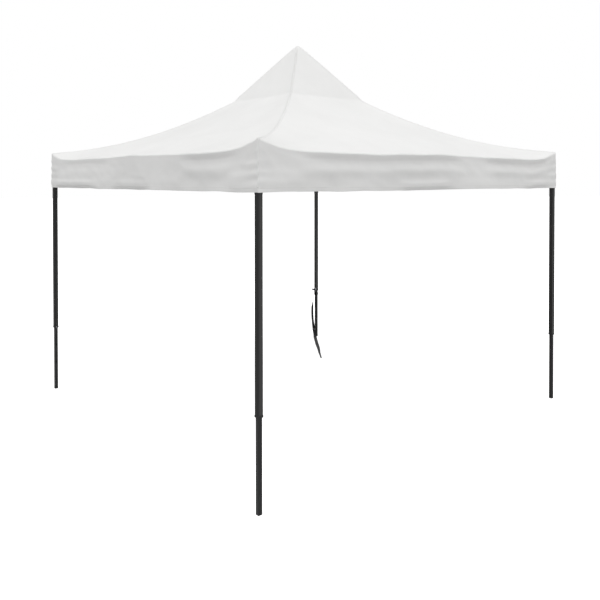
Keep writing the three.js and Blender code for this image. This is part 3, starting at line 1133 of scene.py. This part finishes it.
@dataclass
class Cloth:
    """What the roof and the valance share: the frame's shape under them, and how they fold away.

    Attributes:
        edge: How far the fold over the eave is from the centre.
        line: How far the leg line is from the centre.
        turn: The radius of the fold over the eave.
        thickness: The cloth's thickness.
        corner: The radius of its upright corners.
        slack: How much of the way in the deepest pleat is left out when the frame folds.
        leg_top: The height that the roof comes down to when the frame folds.
        drop: How far the peak comes down for each metre that it stands above that height.
        peak: The height of the cone's tip before it is rounded.
        cone_slope: How steeply the cone falls.
        corner_top: The height of the corners.
        hip_slope: How steeply a hip leaves its corner.
        hip_curve: How fast it steepens from there.
        eave_reach: How far in from the eave the sides sink.
        eave_sag: How deep they sink between the corners.
        sag_reach: How far from a corner that takes.
    """

    edge: float = 1.492
    line: float = 1.47
    turn: float = 12 * MM
    thickness: float = 0.8 * MM
    corner: float = 9 * MM
    slack: float = 0.045
    leg_top: float = 1.99
    drop: float = 1.09
    peak: float = 2.909
    cone_slope: float = 1.24
    corner_top: float = 2.010
    hip_slope: float = 0.07
    hip_curve: float = 0.28
    eave_reach: float = 0.35
    eave_sag: float = 0.058
    sag_reach: float = 0.17

    def plain_height(self, far: float, near: float) -> float:
        """The height of the tight cloth.

        Args:
            far: The larger distance from the two centre lines.
            near: The smaller one.

        Returns:
            The height in metres.
        """
        cone = self.peak - self.cone_slope * math.hypot(far, 0.012)
        inside = self.edge - far
        slope = self.corner_top + self.hip_slope * inside + self.hip_curve * inside**2
        share = smooth(0.35, 0.39, far)
        hip = cone * (1 - share) + slope * share
        eave = max(0.0, 1 - inside / self.eave_reach)
        eave = eave * eave * (3 - 2 * eave)
        t = max(0.0, far - near)
        return hip - eave * (self.eave_sag * math.tanh(t / self.sag_reach) - 0.006 * t / self.edge)

    def wrinkle(self, place: Vector, far: float, near: float) -> float:
        """How far the cloth rises or sinks from the tight shape.

        Args:
            place: The point in plan.
            far: The larger distance from the two centre lines.
            near: The smaller one.

        Returns:
            The rise in metres.
        """
        off_hip = far - near
        broad = 5 * MM * ripple(place.x * 1.9, place.y * 1.9, 1) * smooth(0.02, 0.3, off_hip)
        sag = -7 * MM * math.sin(math.pi * min(1, off_hip / max(far, 1e-6))) * smooth(0.25, 0.8, far)
        corner = Vector((math.copysign(self.line, place.x), math.copysign(self.line, place.y)))
        away = (place - corner).length
        angle = math.atan2(abs(place.y - corner.y), abs(place.x - corner.x) + 1e-6)
        pulls = math.sin(angle * 19 + 1.7 * ripple(away * 3, angle * 2, 2))
        drag = 3.2 * MM * pulls * math.exp(-away / 0.32) * smooth(0.0, 0.08, away)
        from_peak = math.atan2(place.y, place.x)
        rays = math.sin(from_peak * 13 + 2.0 * ripple(from_peak, far * 2, 3))
        tug = 1.6 * MM * rays * math.exp(-(((far - 0.45) / 0.16) ** 2))
        lip = 4 * MM * ripple(place.x * 5, place.y * 5, 4) * smooth(0.35, 0.0, self.edge - far)
        return broad + sag + drag + tug + lip * smooth(0.03, 0.2, off_hip)

    def height(self, place: Vector) -> float:
        """The cloth's height over a point in plan."""
        far = max(abs(place.x), abs(place.y))
        near = min(abs(place.x), abs(place.y))
        return self.plain_height(far, near) + self.wrinkle(place, far, near)

    def rounded(self, spot: Vector, far: float) -> Vector:
        """Rounds the corner of a square ring in plan.

        Args:
            spot: A point on the ring.
            far: The ring's distance from the centre.

        Returns:
            The point on the rounded ring.
        """
        radius = self.corner * smooth(0.6, 1.3, far)
        start = far - radius
        over = Vector((abs(spot.x) - start, abs(spot.y) - start))
        if radius <= 0 or min(over) <= 0:
            return Vector(spot[:2])
        over *= max(over) / over.length
        return Vector((math.copysign(start + over.x, spot.x), math.copysign(start + over.y, spot.y)))

    def solid(self, piece: Object, smooth_angle: float = 60.0) -> None:
        """Gives a sheet its thickness, inwards."""
        activate(piece)
        solidify = piece.modifiers.new("cloth", "SOLIDIFY")
        solidify.thickness = self.thickness
        solidify.offset = -1
        bpy.ops.object.modifier_apply(modifier=solidify.name)
        bpy.ops.object.shade_smooth_by_angle(angle=math.radians(smooth_angle))

    def pleat(self, place: Vector) -> float:
        """How much of the way in a point stays out when folded, from 0 to 1."""
        turn = math.atan2(place.y, place.x)
        beats = 30 * turn + 3.0 * ripple(turn * 2.5, 0.3, 5)
        return 0.5 + 0.5 * math.sin(beats)

    def follow(self, piece: Object, frame: dict) -> None:
        """Makes a sheet gather as its legs come together and its peak comes down.

        Each leg draws the cloth near it, and the rod under the peak draws what stands above the legs.
        None of them turns, so a hook by weight is exact.

        Args:
            piece: The finished sheet.
            frame: The loaded frame.
        """
        groups = {corner: piece.vertex_groups.new(name=f"leg_{corner.label}") for corner in Corner}
        peak = piece.vertex_groups.new(name="peak_rod")
        signs = {
            Corner.BACK_RIGHT: (1, 1),
            Corner.BACK_LEFT: (-1, 1),
            Corner.FRONT_LEFT: (-1, -1),
            Corner.FRONT_RIGHT: (1, -1),
        }
        for vertex in piece.data.vertices:
            co = vertex.co
            hanging = smooth(self.leg_top, self.leg_top - 0.25, co.z)
            out = max(abs(co.x), abs(co.y)) / self.edge
            keep = 1 - self.slack * self.pleat(co) * (0.25 + 0.75 * hanging) * out
            along_x = max(-1.0, min(1.0, co.x / self.line))
            along_y = max(-1.0, min(1.0, co.y / self.line))
            for corner, (sx, sy) in signs.items():
                weight = keep * (1 + sx * along_x) * (1 + sy * along_y) / 4
                groups[corner].add([vertex.index], weight, "REPLACE")
            lift = max(0.0, min(1.0, (co.z - self.leg_top) * self.drop))
            peak.add([vertex.index], lift, "REPLACE")
        bodies = [f"leg_{corner.label}" for corner in Corner] + ["peak_rod"]
        for body in bodies:
            hook = piece.modifiers.new(f"to_{body}", "HOOK")
            hook.object = frame["bodies"][body]
            hook.vertex_group = body
            hook.falloff_type = "NONE"
            hook.strength = 1.0
            hook.matrix_inverse = Matrix.Identity(4)


@dataclass
class Roof(Cloth):
    """The roof: one cloth cut in four panels, sewn at the hips, with a patch over the peak.

    Attributes:
        patch: How far the peak's patch reaches down from the peak.
        seam: The half width of a hip seam.
        seam_height: How far the seam's folded layers stand up.
        stations: How many steps there are from a hip to the middle of a side.
    """

    patch: float = 0.37
    seam: float = 7.5 * MM
    seam_height: float = 0.8 * MM
    stations: int = 44

    def rings(self) -> list[float]:
        """The distances of the rings from the centre, closer where the shape turns."""
        steps = [0.004, 0.010, 0.018, 0.03, 0.05]
        steps += [0.05 + 0.27 * k / 12 for k in range(1, 13)]
        steps += [0.337, 0.352, 0.3655, 0.3685, 0.3715, 0.3745, 0.385, 0.4]
        steps += [0.4 + 0.75 * k / 30 for k in range(1, 31)]
        steps += [1.15 + 0.32 * k / 22 for k in range(1, 23)]
        return [*steps, self.edge - self.turn]

    def across(self, far: float) -> list[float]:
        """The distances along half a side of a ring, from its hip to its middle.

        Args:
            far: The ring's distance from the centre.

        Returns:
            Distances from the centre line, largest first.
        """
        scale = min(1.0, far / 0.12)
        seam = [scale * d for d in (0.0, 0.005, self.seam * 1.3, 0.0125)]
        rest = far - seam[-1]
        places = [far - d for d in seam]
        return places + [rest * (1 - step / self.stations) for step in range(1, self.stations + 1)]

    def sheet(self) -> Object:
        """Makes the sheet ring by ring, from the peak to the fold over the eave.

        Returns:
            The roof, one layer thick.
        """
        points = [Vector((0, 0, self.height(Vector((0.0, 0.0)))))]
        flat_uv = [(0.0, 0.0)]
        seam_uv = [(0.0, 1.0)]
        turns = [QUARTER * k / 5 for k in range(6)]
        rows = [(far, 0.0) for far in self.rings()]
        rows += [(self.edge - self.turn + self.turn * math.sin(a), a) for a in turns[1:]]
        size = 0
        for far, bend in rows:
            plan = min(far, self.edge - self.turn)
            half = self.across(plan)
            side_line = [*half, *[-place for place in reversed(half[:-1])]][:-1]
            size = 4 * len(side_line)
            for side in Side:
                for place in side_line:
                    along = -place
                    spot = side.turn.to_2x2() @ Vector((plan, along))
                    top = self.height(spot)
                    near_hip = plan - abs(along)
                    ridge = self.seam_height * smooth(self.seam * 1.35, self.seam * 0.7, near_hip)
                    step = 0.9 * MM * smooth(self.patch + 1 * MM, self.patch - 1 * MM, plan)
                    z = top + (ridge if plan > 0.05 else 0.0) + step - self.turn * (1 - math.cos(bend))
                    ring = self.rounded(Vector((far, along * far / plan)), far)
                    lip = sum(fold.depth_at(side, along, 0.0, 0.0) for fold in FOLDS)
                    ring.x += lip * smooth(self.edge - 0.09, self.edge - self.turn, far)
                    spot = side.turn.to_2x2() @ ring
                    points.append(Vector((spot.x, spot.y, z)))
                    flat_uv.append((side.value * 4 + along, plan * 1.1))
                    seam_uv.append((plan * 1.4, near_hip * 0.707 if plan > 0.05 else 1.0))
        faces: list[tuple[int, ...]] = [(0, 1 + k, 1 + (k + 1) % size) for k in range(size)]
        for row in range(len(rows) - 1):
            a, b = 1 + row * size, 1 + (row + 1) * size
            faces += [(a + k, b + k, b + (k + 1) % size, a + (k + 1) % size) for k in range(size)]
        return sheet_object("canopy_roof_cloth", points, faces, {"UVMap": flat_uv, "seam": seam_uv})

    def build(self, frame: dict, finishes: Finishes) -> Object:
        """Args:
            frame: The loaded frame.
            finishes: The finishes made so far.

        Returns:
            The finished roof.
        """
        roof = self.sheet()
        self.solid(roof)
        finishes.dress(roof, POLYESTER)
        self.follow(roof, frame)
        seat(roof, "hub_upper", "canopy_cloth", "canopy_roof")
        return roof


def sheet_object(
    name: str,
    points: Sequence[Vector],
    faces: Sequence[Sequence[int]],
    maps: dict[str, Sequence[tuple[float, float]]],
) -> Object:
    """Makes a cloth object from its points, faces and maps.

    Args:
        name: The piece's name.
        points: Its corners.
        faces: Its faces, as the numbers of their corners.
        maps: Its maps by name, each with one place for each corner.

    Returns:
        The piece.
    """
    mesh = bpy.data.meshes.new(name)
    mesh.from_pydata([point[:] for point in points], [], faces)
    for map_name, places in maps.items():
        layer = mesh.uv_layers.new(name=map_name)
        for loop in mesh.loops:
            layer.data[loop.index].uv = places[loop.vertex_index]
    piece = bpy.data.objects.new(name, mesh)
    bpy.context.scene.collection.objects.link(piece)
    if sum(face.normal.z for face in mesh.polygons) < 0 and name.endswith("roof_cloth"):
        mesh.flip_normals()
    return piece


@dataclass
class Valance(Cloth):
    """The valance: a band that hangs from the eave all round, with a stitched hem.

    Attributes:
        hem_height: The mean height of its lower edge.
        hem: The height of the turned up hem.
        give: How far the cloth can go in before it meets the bars.
        stations: How many steps each side has.
        rows: How many steps there are from the eave to the hem.
    """

    hem_height: float = 1.7185
    hem: float = 25 * MM
    give: float = 2 * MM
    stations: int = 180
    rows: int = 32

    def stand_out(self, side: Side, along: float, share: float, fall: float, level: float) -> float:
        """How far the hanging cloth stands out of its plane.

        Args:
            side: The side that it hangs on.
            along: The place along the side.
            share: The share of the way down, from 0 to 1.
            fall: The distance down from the eave.
            level: The height over the floor, which the short creases at the corners keep to.

        Returns:
            The distance outwards in metres.
        """
        seed = 10 + side.value
        to_corner = self.edge - abs(along)
        free = smooth(0.0, 0.22, to_corner)
        loose = smooth(0.05, 0.8, share) * (0.25 + 0.75 * free)
        broad = 13 * MM * (0.35 + ripple(along * 1.3, share * 0.5, seed)) * loose
        folds = 9 * MM * ripple(along * 3.6 + share * 1.1, share * 1.6, seed + 20) * loose
        fine = 3 * MM * ripple(along * 9 - share * 2.0, share * 3.5, seed + 30) * smooth(0, 0.2, share)
        placed = sum(fold.depth_at(side, along, fall, share) for fold in FOLDS)
        away = math.hypot(to_corner, fall)
        angle = math.atan2(fall, to_corner + 1e-6)
        end = 2.3 * side.value + (1.3 if along > 0 else 0.0)
        pulls = math.sin(angle * 9 + 2 * end + 1.8 * ripple(away * 6, angle, seed + 60))
        drag = 1.6 * MM * pulls * math.exp(-away / 0.25)
        drag *= smooth(0.0, 0.05, to_corner) * smooth(0, 0.03, fall)
        beats = math.sin(level * 104 + end + 1.6 * ripple(along * 5, level * 9, seed + 70))
        creases = 3 * MM * (0.7 + 0.4 * math.sin(end)) * beats
        creases *= math.exp(-to_corner / 0.12) * smooth(0.02, 0.07, fall)
        pressed = 3 * MM * math.exp(-(((share - 0.78) / 0.14) ** 2)) * math.exp(-to_corner / 0.05)
        out = broad + folds + fine + drag + creases + pressed + 2 * MM * loose
        held = out if out > 0 else -self.give * (1 - math.exp(out / (3 * self.give)))
        return held + placed

    def sheet(self) -> Object:
        """Makes the band side by side, from the eave to the hem.

        Returns:
            The valance, one layer thick.
        """
        steps = [row / self.rows for row in range(self.rows + 1)]
        lines = self.lines()
        size = 4 * len(lines)
        points, flat_uv, seam_uv = [], [], []
        for share in steps:
            for side in Side:
                for along in lines:
                    inner = self.edge - self.turn
                    spot = side.turn.to_2x2() @ Vector((inner, along * inner / self.edge))
                    top = self.height(spot) - self.turn - 0.4 * MM
                    on_hip = smooth(10 * MM, 5 * MM, inner * (1 - abs(along) / self.edge))
                    top += 0.8 * MM * on_hip
                    low = self.hem_height + 5 * MM * ripple(along * 1.2, 5.0, side.value)
                    low += 3 * MM * ripple(along * 5.0, 7.0, side.value)
                    fall = (top - low) * share
                    out = self.stand_out(side, along, share, fall, top - fall)
                    out += 0.7 * MM * smooth(self.hem + 1 * MM, self.hem - 1 * MM, top - low - fall)
                    ring = self.rounded(Vector((self.edge, along)), self.edge)
                    pinch = smooth(0.0, self.corner * 1.5, self.edge - abs(along))
                    spread = out * (0.5 + 0.5 * pinch)
                    slide = math.copysign(out * 0.5 * (1 - pinch), along)
                    points.append(side.turn @ Vector((ring.x + spread, ring.y + slide, top - fall)))
                    flat_uv.append((side.value * 3 + along, top - fall))
                    seam_uv.append((side.value * 3 + along, top - low - fall))
        faces = []
        for row in range(self.rows):
            a, b = row * size, (row + 1) * size
            faces += [(a + k, b + k, b + (k + 1) % size, a + (k + 1) % size) for k in range(size)]
        return sheet_object("canopy_valance_cloth", points, faces, {"UVMap": flat_uv, "seam": seam_uv})

    def lines(self) -> list[float]:
        """The places along a side, from one corner up to the next, which begins the next side."""
        span = self.edge - 14 * MM
        ends = [self.edge - d * MM for d in (2, 4.5, 7, 9, 11)]
        middle = [-span + 2 * span * k / self.stations for k in range(self.stations + 1)]
        return [-self.edge, *[-end for end in ends], *middle, *reversed(ends)]

    def build(self, frame: dict, finishes: Finishes) -> Object:
        """Args:
            frame: The loaded frame.
            finishes: The finishes made so far.

        Returns:
            The finished valance.
        """
        valance = self.sheet()
        self.solid(valance)
        # The valance's cloth carries painted shade: its colour is a touch darker than the roof's.
        finishes.dress(valance, HEMMED_POLYESTER_PAINTED_SHADE)
        self.follow(valance, frame)
        seat(valance, "hub_upper", "canopy_cloth", "canopy_valance")
        return valance


# ---------------------------------------------------------------- whole


def main() -> None:
    """Builds the studio, the strap, the frame's parts and the cloth."""
    logging.basicConfig(level=logging.INFO, format="%(name)s: %(message)s")
    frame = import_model()
    finishes = Finishes()
    Studio().build(finishes)
    TieStrap().build(finishes)
    dresser = Dresser(frame, finishes)
    for corner in Corner:
        Leg(corner).build(dresser)
    for side in Side:
        Truss(side).build(dresser)
    Centre().build(dresser)
    Roof().build(frame, finishes)
    Valance().build(frame, finishes)


if __name__ == "__main__":
    main()
